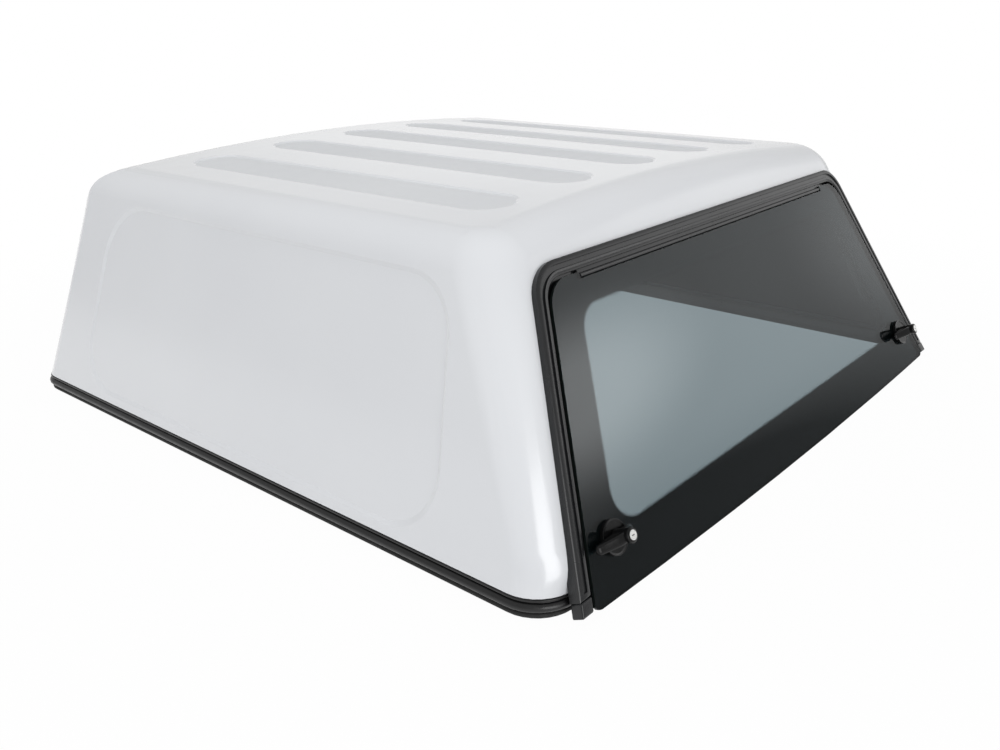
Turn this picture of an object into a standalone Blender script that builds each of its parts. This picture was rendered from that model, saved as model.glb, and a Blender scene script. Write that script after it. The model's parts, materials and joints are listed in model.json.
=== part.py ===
"""Fibreglass canopy for a dual-cab pickup tub, with a frameless glass rear door.

Metres, +Z up, +Y towards the cab, +X to the right. The origin is the bottom centre of the whole
canopy. Two frames are used inside the file: the shell's (x, y, z), with z = 0 at the moulding's
lower edge and y = 0 at the foot line of the rear face, and the rear face's (x, depth, slope),
with depth measured inwards from the face and slope measured up along it.
"""
import bpy
import bmesh
from math import atan, cos, pi, radians, sin, sqrt, tan
from mathutils import Matrix, Vector

GAP = 0.0003                 # what touching pieces keep between them

# Shell moulding
BASE_HALF_WIDTH = 0.771      # outside of the side walls at the lower edge
SHELL_FRONT = 1.596          # outside of the front wall at the lower edge
ROOF_HEIGHT = 0.510          # middle of the roof above the moulding's lower edge
SIDE_LEAN = 0.300            # tumblehome, inwards per unit of height
FRONT_LEAN = 0.150           # the front wall leans back by this per unit of height
WALL = 0.007                 # laminate and lining
REAR_CORNER_BASE = 0.072     # upright rear corners at the base, seen from above
REAR_CORNER_TOP = 0.082      # the same corners at roof level
FRONT_CORNER_BASE = 0.060
FRONT_CORNER_TOP = 0.080
REAR_UPRIGHT = 0.036         # the rear corners stand upright to about this height
REAR_BLEND = 0.016           # and turn softly into the lean
SHOULDER_RADIUS = 0.070      # roof to side wall
REAR_ROOF_RADIUS = 0.100     # roof to rear face
FRONT_ROOF_RADIUS = 0.180    # roof to front wall
CROWN_DROP = 0.0461          # how far the crowned roof would have dropped above the walls' feet
BASE_FLANGE = 0.040          # flange turned in under the walls
CROWN_STRIPS = 4             # the crowned roof is made of this many strips on each side
CROWN_SET_IN = 0.110         # and the last one ends this far inside the shoulder's roundover

# Flutes in the roof and the recess in each side
FLUTE_COUNT = 5
FLUTE_SET_IN = 0.107         # middle line of the outermost flute, in from the shoulder's roundover
FLUTE_WIDTH = 0.112
FLUTE_DEPTH = 0.0035
FLUTE_REAR_SET_IN = 0.038    # from the end of the rear roundover
FLUTE_FRONT_SET_IN = 0.0745  # from the end of the front roundover
RECESS_DEPTH = 0.0035
RECESS_WALL = 0.007          # how far the soft wall of a flute or recess runs
TRAY_RISE = 0.003            # how far a flute's or recess's cutter stands out of the surface
SIDE_RECESS_LOW = 0.020
SIDE_RECESS_TOP = 0.092      # below the middle of the roof
SIDE_RECESS_REAR_LOW = 0.270
SIDE_RECESS_REAR_HIGH = 0.325
SIDE_RECESS_FRONT_LOW = 0.196    # behind the front wall's foot
SIDE_RECESS_FRONT_HIGH = 0.246
SIDE_RECESS_RADIUS = 0.100
SIDE_RECESS_FRONT_RADIUS = 0.140   # the upper front corner is rounder

# Rear face, frame and door opening
REAR_LEAN = 0.492            # forward per unit of height
REAR_FOOT = -0.0232          # height of the face's foot line
FRAME_HEAD_DROP = 0.081      # outer edge of the frame's head, below roof height along the slope
FRAME_SET_IN = 0.0387        # outer edge of the frame at slope 0, in from the side walls
FRAME_TAPER = 0.3255         # the jambs close in by this per unit of slope
FRAME_OUTER_RADIUS = 0.070
FRAME_RIM = 0.0268           # width of the frame's face beside the glass
FRAME_NECK = 0.0045          # part of the rim that goes on into the moulding's opening
FRAME_LIP = 0.0110           # least depth of the rim over the moulding
FRAME_DEPTH = 0.0235
FRAME_FOOT = 0.027           # the frame's feet end this far up the slope
REBATE_DEPTH = 0.0125
REBATE_RADIUS = 0.050
JAMB_FLANGE = 0.022          # inner flange of the frame behind the glass at the sides
HEAD_FLANGE = 0.042          # and at the head
FOOT_FLANGE = 0.022          # of the foot brackets, behind the glass
FOOT_BRACKET_LOW = 0.004

# Glass door
GLASS = 0.005
DOOR_GAP = 0.005
DOOR_DROOP = 0.0110          # how far the lower edge bows down at the middle
DOOR_TOP_RADIUS = 0.060      # rounder than the rebate, to clear the frame as the door swings
DOOR_FOOT_RADIUS = 0.014
BOTTOM_SEAL_RADIUS = 0.007
BOTTOM_SEAL_RISE = 0.014     # middle of the bottom bulb above the glass edge
BOTTOM_SEAL_SET_IN = 0.027   # the bulb ends this far inside the glass's lower corners
FRAME_SEAL_RADIUS = 0.0033
FRAME_SEAL_INSET = 0.0105
HEAD_SEAL_INSET = 0.0365

# Door hinge
PIVOT_DEPTH = 0.0055
PIVOT_DROP = 0.0105          # pin below the rebate's upper edge
HINGE_SET_IN = 0.085         # the hinge ends this far inside the rebate
HINGE_PIN_RADIUS = 0.0035
HINGE_WEB_FRONT = 0.0028     # front of the pin's web, behind the pin's axis
HINGE_WEB_LEAN = 0.0022      # the web's front comes forward by this towards its head
HINGE_WEB_GAP = 0.0007       # between web and hook
HOOK_INNER_RADIUS = 0.0039
HOOK_OUTER_RADIUS = 0.0055
LEAF_DEPTH = 0.003
LEAF_REACH = 0.0195          # the leaf ends this far below the pin

# Handles and latches
HANDLE_SET_IN = 0.067        # handle's axis, in from the rebate's edge
HANDLE_SLOPE = 0.082
ROSE_RADIUS = 0.029
ROSE_HEIGHT = 0.0075
ROSE_EDGE = 0.003            # radius of the rose's outer edge
GRIP_HALF_LENGTH = 0.048
GRIP_WIDTH = 0.018
GRIP_HEIGHT = 0.038
GRIP_TIP_HEIGHT = 0.012
HUB_RADIUS = 0.0125
LOCK_RADIUS = 0.008
LOCK_REACH = 0.043
LOCK_CHAMFER = 0.001
SHAFT_RADIUS = 0.005
SHAFT_CLEARANCE = 0.0006
SHAFT_HOLE_GAP = 0.002       # round the shaft in the glass
GRIP_UNDER = 0.0085          # underside of the grip above the glass
GRIP_FILLET = 0.006          # hollow beside the hub
GRIP_FALL = 1.2              # power of the cosine that the grip's back falls along
CAM_CLEARANCE = 0.0015       # between cam and striker
CAM_THICKNESS = 0.004
CAM_WIDTH = 0.018
CAM_STEP = 0.003             # the cam's tip is bent towards the striker by this
CAM_BOSS = 0.0108            # from the shaft's axis to the cam's blunt end
STRIKER_HEIGHT = 0.010
STRIKER_WIDTH = 0.019
STRIKER_LENGTH = 0.034
STRIKER_RAMP = 0.010
STRIKER_STEP = 0.004         # height of the striker's ends, where its ramps begin

# Gas struts: each ball stud's set-in from the rebate's edge, and its depth
STRUT_BODY_POINT = (0.038, 0.047)
STRUT_DOOR_POINT = (0.0585, 0.024)
STRUT_BODY_SLOPE = 0.178     # height of the stud on the body
STRUT_DOOR_DROP = 0.1195     # the door's stud, below the hinge's axis
BODY_STUD_REACH = 0.0195     # from ball to upstand
DOOR_STUD_REACH = 0.0175
BODY_PLATE_WIDTH = 0.0115
DOOR_PLATE_WIDTH = 0.016
BODY_PLATE_LENGTH = 0.022
DOOR_PLATE_LENGTH = 0.024
STRUT_RADIUS = 0.009
STRUT_BORE = 0.0045
STRUT_ROD_RADIUS = 0.004
STRUT_ROD_SHOWN = 0.0464     # of the rod with the door shut, from the cylinder's end to the socket
STRUT_SHOULDER = 0.015       # the cylinder reaches its full radius here
STRUT_BORE_FOOT = 0.022
STRUT_ROD_FOOT = 0.028
STRUT_EYE_RADIUS = 0.008
STRUT_NECK = 0.002           # beyond the socket, where the rod begins
STUD_RADIUS = 0.004
STUD_GAP = 0.0005
STRUT_PLATE = 0.003

# Base trim and seal, as a rubber moulding round three sides
TRIM_HEIGHT = 0.0243
SEAL_HEIGHT = 0.037
TRIM_END_ANGLE = 86.0        # where the moulding stops on each rear corner's arc
RUBBER_REACH = 0.020         # how far the rubber reaches in under the flange
# Beads: root's distance out from the wall, height of the middle, how far it bulges, its height
UPPER_BEAD = (-0.002, -0.0033, 0.0045, 0.0060)
LOWER_BEAD = (-0.002, -0.0158, 0.0085, 0.0160)
SEAL_BEAD = (-0.006, -0.0301, 0.0075, 0.0112)
BEAD_GROOVE = -0.0075        # height of the groove between the two beads
SEAL_FOOT = -0.008           # outer edge of the seal's underside, out from the wall

# Front window
FRONT_WINDOW_SET_IN = 0.291  # in from the side walls' foot
FRONT_WINDOW_LOW = 0.120
FRONT_WINDOW_TOP = 0.188     # below the middle of the roof
FRONT_WINDOW_RADIUS = 0.060
FRONT_SEAL_LIP = 0.010
FRONT_SEAL_PROUD = 0.003
FRONT_GLASS = 0.004

ARC_STEPS = 8


def clearScene():
    for item in list(bpy.data.objects):
        bpy.data.objects.remove(item, do_unlink=True)


def makeMaterial(name, colour, roughness, metallic=0.0, alpha=1.0):
    material = bpy.data.materials.new(name)
    material.use_nodes = True
    shader = material.node_tree.nodes["Principled BSDF"]
    shader.inputs["Base Color"].default_value = (*colour, 1.0)
    shader.inputs["Roughness"].default_value = roughness
    shader.inputs["Metallic"].default_value = metallic
    shader.inputs["Alpha"].default_value = alpha
    material.diffuse_color = (*colour, alpha)
    return material


def makeMaterials():
    return {
        "gelcoat": makeMaterial("white_gelcoat", (0.80, 0.80, 0.79), 0.15),
        "frame": makeMaterial("black_powder_coat", (0.02, 0.02, 0.022), 0.45),
        "rubber": makeMaterial("black_rubber", (0.025, 0.025, 0.025), 0.75),
        "glass": makeMaterial("tinted_glass", (0.05, 0.06, 0.06), 0.03, alpha=0.5),
        "handle": makeMaterial("black_handle", (0.03, 0.03, 0.032), 0.35),
        "chrome": makeMaterial("chrome", (0.85, 0.85, 0.85), 0.12, metallic=1.0),
        "steel": makeMaterial("zinc_steel", (0.60, 0.60, 0.58), 0.35, metallic=1.0),
        "strut": makeMaterial("black_strut", (0.02, 0.02, 0.02), 0.3, metallic=0.3),
    }


def roundedPath(corners, closed=True, steps=ARC_STEPS):
    """Points of a polygon whose corners (a, b, radius) are rounded by arcs."""
    points = []
    count = len(corners)
    for index, (a, b, radius) in enumerate(corners):
        here = Vector((a, b))
        isEnd = not closed and index in (0, count - 1)
        if radius <= 0.0 or isEnd:
            points.append(here)
            continue
        before = (Vector(corners[index - 1][:2]) - here).normalized()
        after = (Vector(corners[(index + 1) % count][:2]) - here).normalized()
        half = before.angle(after) / 2
        centre = here + (before + after).normalized() * radius / sin(half)
        start = here + before * radius / tan(half) - centre
        turn = start.angle_signed(here + after * radius / tan(half) - centre)
        for step in range(steps + 1):
            swing = -turn * step / steps
            points.append(centre + Matrix.Rotation(swing, 2) @ start)
    return points


def extrudeOutline(points, low, high, place):
    """A closed prism: the outline's points at two levels, set in space by place(a, b, level)."""
    shape = bmesh.new()
    rings = [[shape.verts.new(place(p[0], p[1], level)) for p in points] for level in (low, high)]
    shape.faces.new(rings[0])
    shape.faces.new(rings[1])
    count = len(points)
    for i in range(count):
        j = (i + 1) % count
        shape.faces.new((rings[0][i], rings[0][j], rings[1][j], rings[1][i]))
    bmesh.ops.recalc_face_normals(shape, faces=shape.faces)
    return shape


def loftRings(rings, capStart=True, capEnd=True):
    """A skin through rings that have the same number of points."""
    shape = bmesh.new()
    loops = [[shape.verts.new(point) for point in ring] for ring in rings]
    count = len(rings[0])
    for lower, upper in zip(loops, loops[1:]):
        for i in range(count):
            j = (i + 1) % count
            shape.faces.new((lower[i], lower[j], upper[j], upper[i]))
    if capStart:
        shape.faces.new(loops[0])
    if capEnd:
        shape.faces.new(loops[-1])
    bmesh.ops.recalc_face_normals(shape, faces=shape.faces)
    return shape


def cutReach():
    """How far a cutter runs past what it cuts: further than the rear roundover."""
    return 2 * REAR_ROOF_RADIUS


def onFace(x, slope, depth):
    return Vector((x, depth, slope))


def acrossFace(depth, slope, x):
    return Vector((x, depth, slope))


def alongSlope(x, depth, slope):
    return Vector((x, depth, slope))


def addPiece(name, shape, material, parent, origin=(0.0, 0.0, 0.0), smooth=30.0):
    """An object whose own origin sits at the given point of its parent's frame."""
    bmesh.ops.translate(shape, verts=shape.verts, vec=-Vector(origin))
    mesh = bpy.data.meshes.new(name)
    shape.to_mesh(mesh)
    shape.free()
    mesh.shade_smooth()
    mesh.set_sharp_from_angle(angle=radians(smooth))
    piece = bpy.data.objects.new(name, mesh)
    bpy.context.scene.collection.objects.link(piece)
    piece.parent = parent
    piece.location = origin
    if material:
        mesh.materials.append(material)
    return piece


def addCutter(name, shape, parent):
    cutter = addPiece(name, shape, None, parent)
    cutter.hide_render = True
    cutter.display_type = "WIRE"
    return cutter


def useCutter(piece, cutter, operation="DIFFERENCE"):
    cut = piece.modifiers.new(cutter.name, "BOOLEAN")
    cut.operation = operation
    cut.solver = "EXACT"
    cut.object = cutter


def addEmpty(name, parent=None, location=(0.0, 0.0, 0.0), rotation=(0.0, 0.0, 0.0)):
    empty = bpy.data.objects.new(name, None)
    bpy.context.scene.collection.objects.link(empty)
    empty.parent = parent
    empty.location = location
    empty.rotation_euler = rotation
    return empty


def turnedRings(profile, axisPoint, steps):
    """Rings about the depth axis, one for each (radius, depth) of the profile."""
    rings = []
    for radius, depth in profile:
        ring = []
        for step in range(steps):
            angle = 2 * pi * step / steps
            across = axisPoint[0] + radius * cos(angle)
            ring.append(Vector((across, depth, axisPoint[1] + radius * sin(angle))))
        rings.append(ring)
    return rings


def turned(profile, axisPoint, steps=24):
    """A solid of revolution with flat ends; the profile is (radius, depth)."""
    return loftRings(turnedRings(profile, axisPoint, steps))


def tube(points, radius, sides=12):
    """A round bar along a path, with its ends cut square."""
    rings = []
    side = None
    for index, point in enumerate(points):
        ahead = points[min(index + 1, len(points) - 1)] - point
        behind = point - points[max(index - 1, 0)]
        along = (ahead.normalized() + behind.normalized()).normalized()
        if side is None:
            side = along.orthogonal().normalized()
        side = (side - along * side.dot(along)).normalized()
        other = along.cross(side)
        ring = []
        for step in range(sides):
            angle = 2 * pi * step / sides
            ring.append(point + (side * cos(angle) + other * sin(angle)) * radius)
        rings.append(ring)
    return loftRings(rings)


def mirrorX(shape):
    bmesh.ops.scale(shape, verts=shape.verts, vec=(-1.0, 1.0, 1.0))
    bmesh.ops.reverse_faces(shape, faces=shape.faces)
    return shape


# Shell moulding

def wallInset(height, lean, radius):
    """How far a leaning wall and its roundover have come in, and the height, at one step."""
    angle = atan(lean)
    tangent = ROOF_HEIGHT - radius * (1 - sin(angle))
    centre = lean * tangent + radius * cos(angle)
    if height <= 1.0:
        return lean * tangent * height, tangent * height
    swing = angle + (pi / 2 - angle) * (height - 1.0)
    return centre - radius * cos(swing), ROOF_HEIGHT - radius + radius * sin(swing)


def shellRing(level, inset=0.0):
    """One ring of the moulding: level 0 to 1 climbs the walls, 1 to 2 goes over to the roof.

    The crown lowers each point along its own wall, so that the walls stay flat.
    """
    side, sideZ = wallInset(level, SIDE_LEAN, SHOULDER_RADIUS)
    rear, rearZ = wallInset(level, REAR_LEAN, REAR_ROOF_RADIUS)
    front, frontZ = wallInset(level, FRONT_LEAN, FRONT_ROOF_RADIUS)
    rear += REAR_LEAN * uprightShift(rearZ)
    climb = min(level, 1.0)
    shrink = max(0.0, side - wallInset(1.0, SIDE_LEAN, SHOULDER_RADIUS)[0]) + inset
    rearRadius = REAR_CORNER_BASE + (REAR_CORNER_TOP - REAR_CORNER_BASE) * climb - shrink
    frontRadius = FRONT_CORNER_BASE + (FRONT_CORNER_TOP - FRONT_CORNER_BASE) * climb - shrink
    half = BASE_HALF_WIDTH - side - inset
    rearEdge = shellRear() + rear + inset
    frontEdge = SHELL_FRONT - front - inset
    rearWall = (-90.0, rearZ, REAR_LEAN)
    frontWall = (90.0, frontZ, FRONT_LEAN)
    corners = [
        (half, rearEdge, -1, rearWall, (0.0, sideZ, SIDE_LEAN)),
        (half, frontEdge, 1, (0.0, sideZ, SIDE_LEAN), frontWall),
        (-half, frontEdge, 1, frontWall, (180.0, sideZ, SIDE_LEAN)),
        (-half, rearEdge, -1, (180.0, sideZ, SIDE_LEAN), (270.0, rearZ, REAR_LEAN))]
    strips = crownStrips()
    ring = []
    for index, (x, y, end, first, last) in enumerate(corners):
        radius = frontRadius if end > 0 else rearRadius
        centre = Vector((x - radius if x > 0 else x + radius, y - end * radius, 0.0))
        for step in range(ARC_STEPS + 1):
            angle, z, lean = [a + (b - a) * step / ARC_STEPS for a, b in zip(first, last)]
            normal = Vector((cos(radians(angle)), sin(radians(angle)), 0.0))
            ring.append(crowned(centre + normal * radius, z, normal, lean, climb))
        if index in (1, 3):
            normal = Vector((0.0, end, 0.0))
            run = strips[::-1] if end > 0 else strips
            angle, z, lean = last
            ring += [crowned(Vector((strip, y, 0.0)), z, normal, lean, climb) for strip in run]
    return ring


def uprightShift(height):
    """How much higher on the lean a point of the rear wall lies, because its foot stands upright."""
    above = height - REAR_UPRIGHT
    return (sqrt(above ** 2 + REAR_BLEND ** 2) - above) / 2


def crowned(point, z, normal, lean, climb):
    drop = crown(point.x) * climb
    return Vector((point.x, point.y, z - drop)) + normal * lean * drop


def roofHalf():
    """Half width of the roof between the shoulders' roundovers."""
    return BASE_HALF_WIDTH - SIDE_LEAN * ROOF_HEIGHT - SHOULDER_RADIUS


def crown(x):
    """How far the crowned roof has dropped at a distance from the middle."""
    return CROWN_DROP * (x / BASE_HALF_WIDTH) ** 2


def crownStrips():
    width = (roofHalf() - CROWN_SET_IN) / CROWN_STRIPS
    return [index * width for index in range(-CROWN_STRIPS, CROWN_STRIPS + 1)]


def shellRear():
    """Where the plane under the frame's lip would meet the level of the moulding's lower edge."""
    return -REAR_FOOT * REAR_LEAN + (FRAME_LIP + GAP) / cos(atan(REAR_LEAN))


def wallLevels():
    """Ring levels from the lower edge to the roof, closer together where the rear wall bends."""
    wall = ROOF_HEIGHT - REAR_ROOF_RADIUS * (1 - sin(atan(REAR_LEAN)))
    blended = REAR_UPRIGHT + 2 * REAR_BLEND
    levels = [blended / wall * step / 5 for step in range(6)]
    levels += [(blended + (wall - blended) * step / 4) / wall for step in range(1, 5)]
    return levels + [1.0 + step / ARC_STEPS for step in range(1, ARC_STEPS + 1)]


def shellSkin():
    """The moulding's outer skin: base flange, walls, roundovers and the crowned roof in strips."""
    rings = [shellRing(0.0, inset=BASE_FLANGE)]
    rings += [shellRing(level) for level in wallLevels()]
    skin = loftRings(rings, capStart=False)
    for strip in crownStrips():
        roof = [face for face in skin.faces if len(face.verts) > 4]
        splitAt(skin, strip, roof)
    return skin


def splitAt(shape, x, faces):
    """Cuts the given faces along the plane at x."""
    edges = {edge for face in faces for edge in face.edges}
    verts = {vert for face in faces for vert in face.verts}
    bmesh.ops.bisect_plane(shape, geom=list(verts) + list(edges) + list(faces), dist=1e-5,
                           plane_co=(x, 0, 0), plane_no=(1, 0, 0))


def trayLevels(depth):
    """Floor and top of a shallow cutter, and how far its outline has grown at each of them."""
    soft = RECESS_WALL / 2
    return (-depth, -soft), (TRAY_RISE, soft + RECESS_WALL * TRAY_RISE / depth)


def fluteCutter(index):
    """A long round-ended tray, its floor narrower than its mouth, tilted with the crown."""
    middle = (FLUTE_COUNT - 1) / 2
    x = (index - middle) / middle * (roofHalf() - FLUTE_SET_IN)
    tilt = atan(2 * crown(x) / x) if x else 0.0
    surface = ROOF_HEIGHT - crown(x)
    roofRear = shellRear() + wallInset(2.0, REAR_LEAN, REAR_ROOF_RADIUS)[0]
    roofFront = SHELL_FRONT - wallInset(2.0, FRONT_LEAN, FRONT_ROOF_RADIUS)[0]
    rings = []
    for level, grow in trayLevels(FLUTE_DEPTH):
        half = FLUTE_WIDTH / 2 + grow
        rear = roofRear + FLUTE_REAR_SET_IN - grow
        front = roofFront - FLUTE_FRONT_SET_IN + grow
        radius = half - GAP
        outline = roundedPath([
            (half, rear, radius), (half, front, radius), (-half, front, radius), (-half, rear, radius)])
        rings.append([Vector((point[0], point[1], level)) for point in outline])
    shape = loftRings(rings)
    bmesh.ops.rotate(shape, verts=shape.verts, cent=(0, 0, 0), matrix=Matrix.Rotation(tilt, 3, "Y"))
    bmesh.ops.translate(shape, verts=shape.verts, vec=(x, 0, surface))
    return shape


def sideRecessCutter():
    """The shallow panel in the right side wall, lying along the tumblehome."""
    rings = []
    lean = atan(SIDE_LEAN)
    for level, grow in trayLevels(RECESS_DEPTH):
        low = SIDE_RECESS_LOW - grow
        high = ROOF_HEIGHT - SIDE_RECESS_TOP + grow
        frontLow = SHELL_FRONT - SIDE_RECESS_FRONT_LOW + grow
        frontHigh = SHELL_FRONT - SIDE_RECESS_FRONT_HIGH + grow
        corners = [
            (SIDE_RECESS_REAR_LOW - grow, low, SIDE_RECESS_RADIUS),
            (frontLow, low, SIDE_RECESS_RADIUS), (frontHigh, high, SIDE_RECESS_FRONT_RADIUS),
            (SIDE_RECESS_REAR_HIGH - grow, high, SIDE_RECESS_RADIUS)]
        outline = roundedPath(corners)
        ring = []
        for y, z in outline:
            wall = BASE_HALF_WIDTH - SIDE_LEAN * z
            ring.append(Vector((wall + level * cos(lean), y, z + level * sin(lean))))
        rings.append(ring)
    return loftRings(rings)


def rebateHalf(slope):
    """Half width of the rebate that takes the glass, at a height along the slope."""
    return BASE_HALF_WIDTH - FRAME_SET_IN - FRAME_TAPER * slope - FRAME_RIM


def rebateHead():
    roof = (ROOF_HEIGHT - REAR_FOOT) / cos(atan(REAR_LEAN))
    return roof - FRAME_HEAD_DROP - FRAME_RIM


def openingCorners(inset, headInset, foot):
    """The door opening as an inverted U, set in from the rebate's edge."""
    head = rebateHead() - headInset
    radius = max(REBATE_RADIUS - inset, JAMB_FLANGE / 2)
    return [
        (inset - rebateHalf(foot), foot, 0.0), (inset - rebateHalf(head), head, radius),
        (rebateHalf(head) - inset, head, radius), (rebateHalf(foot) - inset, foot, 0.0)]


def necks(gap):
    """Outline of the moulding's door opening, which the neck of the frame's rim goes through."""
    return roundedPath(openingCorners(-FRAME_NECK - gap, -FRAME_NECK - gap, -cutReach()))


def buildShell(materials, datum, rearPlane):
    shell = addPiece("shell", shellSkin(), materials["gelcoat"], datum)
    thicken = shell.modifiers.new("laminate", "SOLIDIFY")
    thicken.thickness = WALL
    thicken.offset = -1.0
    thicken.use_even_offset = True
    hole = extrudeOutline(necks(GAP), -cutReach(), cutReach(), onFace)
    useCutter(shell, addCutter("cut_door_opening", hole, rearPlane))
    for index in range(FLUTE_COUNT):
        useCutter(shell, addCutter("cut_flute_%d" % (index + 1), fluteCutter(index), datum))
    useCutter(shell, addCutter("cut_recess_right", sideRecessCutter(), datum))
    useCutter(shell, addCutter("cut_recess_left", mirrorX(sideRecessCutter()), datum))
    window = frontWindowShape(0.0, -cutReach(), cutReach())
    useCutter(shell, addCutter("cut_front_window", window, datum))
    return shell


# Front window

def frontFrame(x, height, out):
    """A point on the leaning front wall: height above the lower edge, out along its normal."""
    lean = atan(FRONT_LEAN)
    return Vector((x, SHELL_FRONT - FRONT_LEAN * height + out * cos(lean), height + out * sin(lean)))


def frontWindowOutline(grow):
    half = BASE_HALF_WIDTH - FRONT_WINDOW_SET_IN + grow
    low = FRONT_WINDOW_LOW
    high = ROOF_HEIGHT - FRONT_WINDOW_TOP
    radius = min(FRONT_WINDOW_RADIUS, (high - low) / 2 - FRONT_SEAL_LIP) + grow
    low -= grow
    high += grow
    corners = [(-half, low, radius), (half, low, radius), (half, high, radius), (-half, high, radius)]
    return roundedPath(corners)


def frontWindowShape(grow, low, high):
    return extrudeOutline(frontWindowOutline(grow), low, high, frontFrame)


def frontWindowRing(grow, out):
    return [frontFrame(point[0], point[1], out) for point in frontWindowOutline(grow)]


def buildFrontWindow(materials, datum):
    """A fixed pane in a rubber glazing strip that grips the moulding and the glass."""
    lip = FRONT_SEAL_LIP
    proud = FRONT_SEAL_PROUD
    middle = -WALL / 2
    pane = FRONT_GLASS / 2
    profile = [
        (lip, GAP), (lip, proud), (-lip, proud), (-lip, middle + pane + GAP),
        (-lip / 2, middle + pane + GAP), (-lip / 2, middle - pane - GAP), (-lip, middle - pane - GAP),
        (-lip, -WALL - proud), (lip, -WALL - proud), (lip, -WALL - GAP),
        (-GAP, -WALL - GAP), (-GAP, GAP)]
    rings = [frontWindowRing(grow, out) for grow, out in profile]
    strip = loftRings(rings, capStart=False, capEnd=False)
    closeLoop(strip, len(rings[0]), len(profile))
    addPiece("front_window_seal", strip, materials["rubber"], datum)
    glass = frontWindowShape(-lip / 2 - GAP, middle - pane, middle + pane)
    addPiece("front_window_glass", glass, materials["glass"], datum)


def closeLoop(shape, ringLength, ringCount):
    """Joins the last ring of a lofted skin to its first, which makes a closed ring of the section."""
    shape.verts.ensure_lookup_table()
    last = (ringCount - 1) * ringLength
    for i in range(ringLength):
        j = (i + 1) % ringLength
        verts = shape.verts
        shape.faces.new((verts[last + i], verts[last + j], verts[j], verts[i]))
    bmesh.ops.recalc_face_normals(shape, faces=shape.faces)


# Base trim and seal

def basePath():
    """The moulding's lower edge from one rear corner round the front to the other, with normals."""
    rearRadius = REAR_CORNER_BASE
    frontRadius = FRONT_CORNER_BASE
    rear = shellRear() + REAR_LEAN * uprightShift(0.0) + rearRadius
    front = SHELL_FRONT - frontRadius
    arcs = [
        (1, rear, rearRadius, -TRIM_END_ANGLE, 0.0), (1, front, frontRadius, 0.0, 90.0),
        (-1, front, frontRadius, 90.0, 180.0), (-1, rear, rearRadius, 180.0, 180.0 + TRIM_END_ANGLE)]
    path = []
    for side, y, radius, start, end in arcs:
        centre = Vector((side * (BASE_HALF_WIDTH - radius), y, 0.0))
        for step in range(ARC_STEPS + 1):
            angle = radians(start + (end - start) * step / ARC_STEPS)
            normal = Vector((cos(angle), sin(angle), 0.0))
            path.append((centre + normal * radius, normal))
    return path


def sweepBase(profile):
    rings = []
    for point, normal in basePath():
        rings.append([point + normal * out + Vector((0, 0, z)) for out, z in profile])
    return loftRings(rings)


def bead(out, middle, radius, height, steps=5):
    """Points of a rounded bead, listed downwards."""
    points = []
    for step in range(steps + 1):
        angle = pi / 2 - pi * step / steps
        points.append((out + radius * cos(angle), middle + height / 2 * sin(angle)))
    return points


def buildBaseTrim(materials, datum):
    trim = [(-RUBBER_REACH, GAP - TRIM_HEIGHT), (-RUBBER_REACH, -GAP)]
    trim += bead(*UPPER_BEAD, steps=3)
    trim += [(UPPER_BEAD[0], BEAD_GROOVE)]
    trim += bead(*LOWER_BEAD)
    addPiece("base_trim", sweepBase(trim), materials["rubber"], datum)
    seal = [(-RUBBER_REACH, -SEAL_HEIGHT), (-RUBBER_REACH, -TRIM_HEIGHT)]
    seal += bead(*SEAL_BEAD)
    seal += [(SEAL_FOOT, -SEAL_HEIGHT)]
    addPiece("base_seal", sweepBase(seal), materials["rubber"], datum)


# Rear frame

def frameOutline():
    outer = openingCorners(-FRAME_RIM, -FRAME_RIM, FRAME_FOOT)
    outer = [(a, b, FRAME_OUTER_RADIUS if radius else 0.0) for a, b, radius in outer]
    inner = openingCorners(JAMB_FLANGE, HEAD_FLANGE, FRAME_FOOT)
    return roundedPath(outer, closed=False) + roundedPath(inner, closed=False)[::-1]


def buildRearFrame(materials, datum, rearPlane):
    """Inverted U whose rebate takes the glass, with an inner flange behind it.

    Its rim is scribed to the moulding, and its neck goes on through the moulding's opening.
    """
    frame = addPiece("rear_frame", extrudeOutline(frameOutline(), 0.0, FRAME_DEPTH, onFace),
                     materials["frame"], rearPlane)
    rebate = roundedPath(openingCorners(0.0, 0.0, -cutReach()))
    cutter = extrudeOutline(rebate, -cutReach(), REBATE_DEPTH, onFace)
    useCutter(frame, addCutter("cut_rebate", cutter, rearPlane))
    scribe = addCutter("cut_scribed_rim", scribedShape(), datum)
    hole = extrudeOutline(necks(0.0), -cutReach(), cutReach(), onFace)
    useCutter(scribe, addCutter("cut_neck_passage", hole, rearPlane))
    useCutter(frame, scribe)


def scribedShape():
    """The moulding's outer form as a block, grown by the gap to the frame."""
    rings = [shellRing(0.0, inset=-GAP)]
    for point in rings[0]:
        point.z -= REAR_UPRIGHT
    rings += [shellRing(level, inset=-GAP) for level in wallLevels()]
    return loftRings(rings)


def buildFootBrackets(materials, rearPlane):
    """The foot of each jamb: an angle that carries rim and rebate on round the corner of the glass."""
    section = [
        (FRAME_RIM, 0.0), (FRAME_RIM, FRAME_DEPTH), (-FOOT_FLANGE, FRAME_DEPTH),
        (-FOOT_FLANGE, REBATE_DEPTH), (0.0, REBATE_DEPTH), (0.0, 0.0)]
    for side, name in ((-1, "left"), (1, "right")):

        def place(outwards, depth, slope):
            return Vector((side * (rebateHalf(slope) + outwards), depth, slope))
        shape = extrudeOutline(section, FOOT_BRACKET_LOW, FRAME_FOOT - GAP, place)
        addPiece("frame_foot_" + name, shape, materials["frame"], rearPlane)


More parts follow.
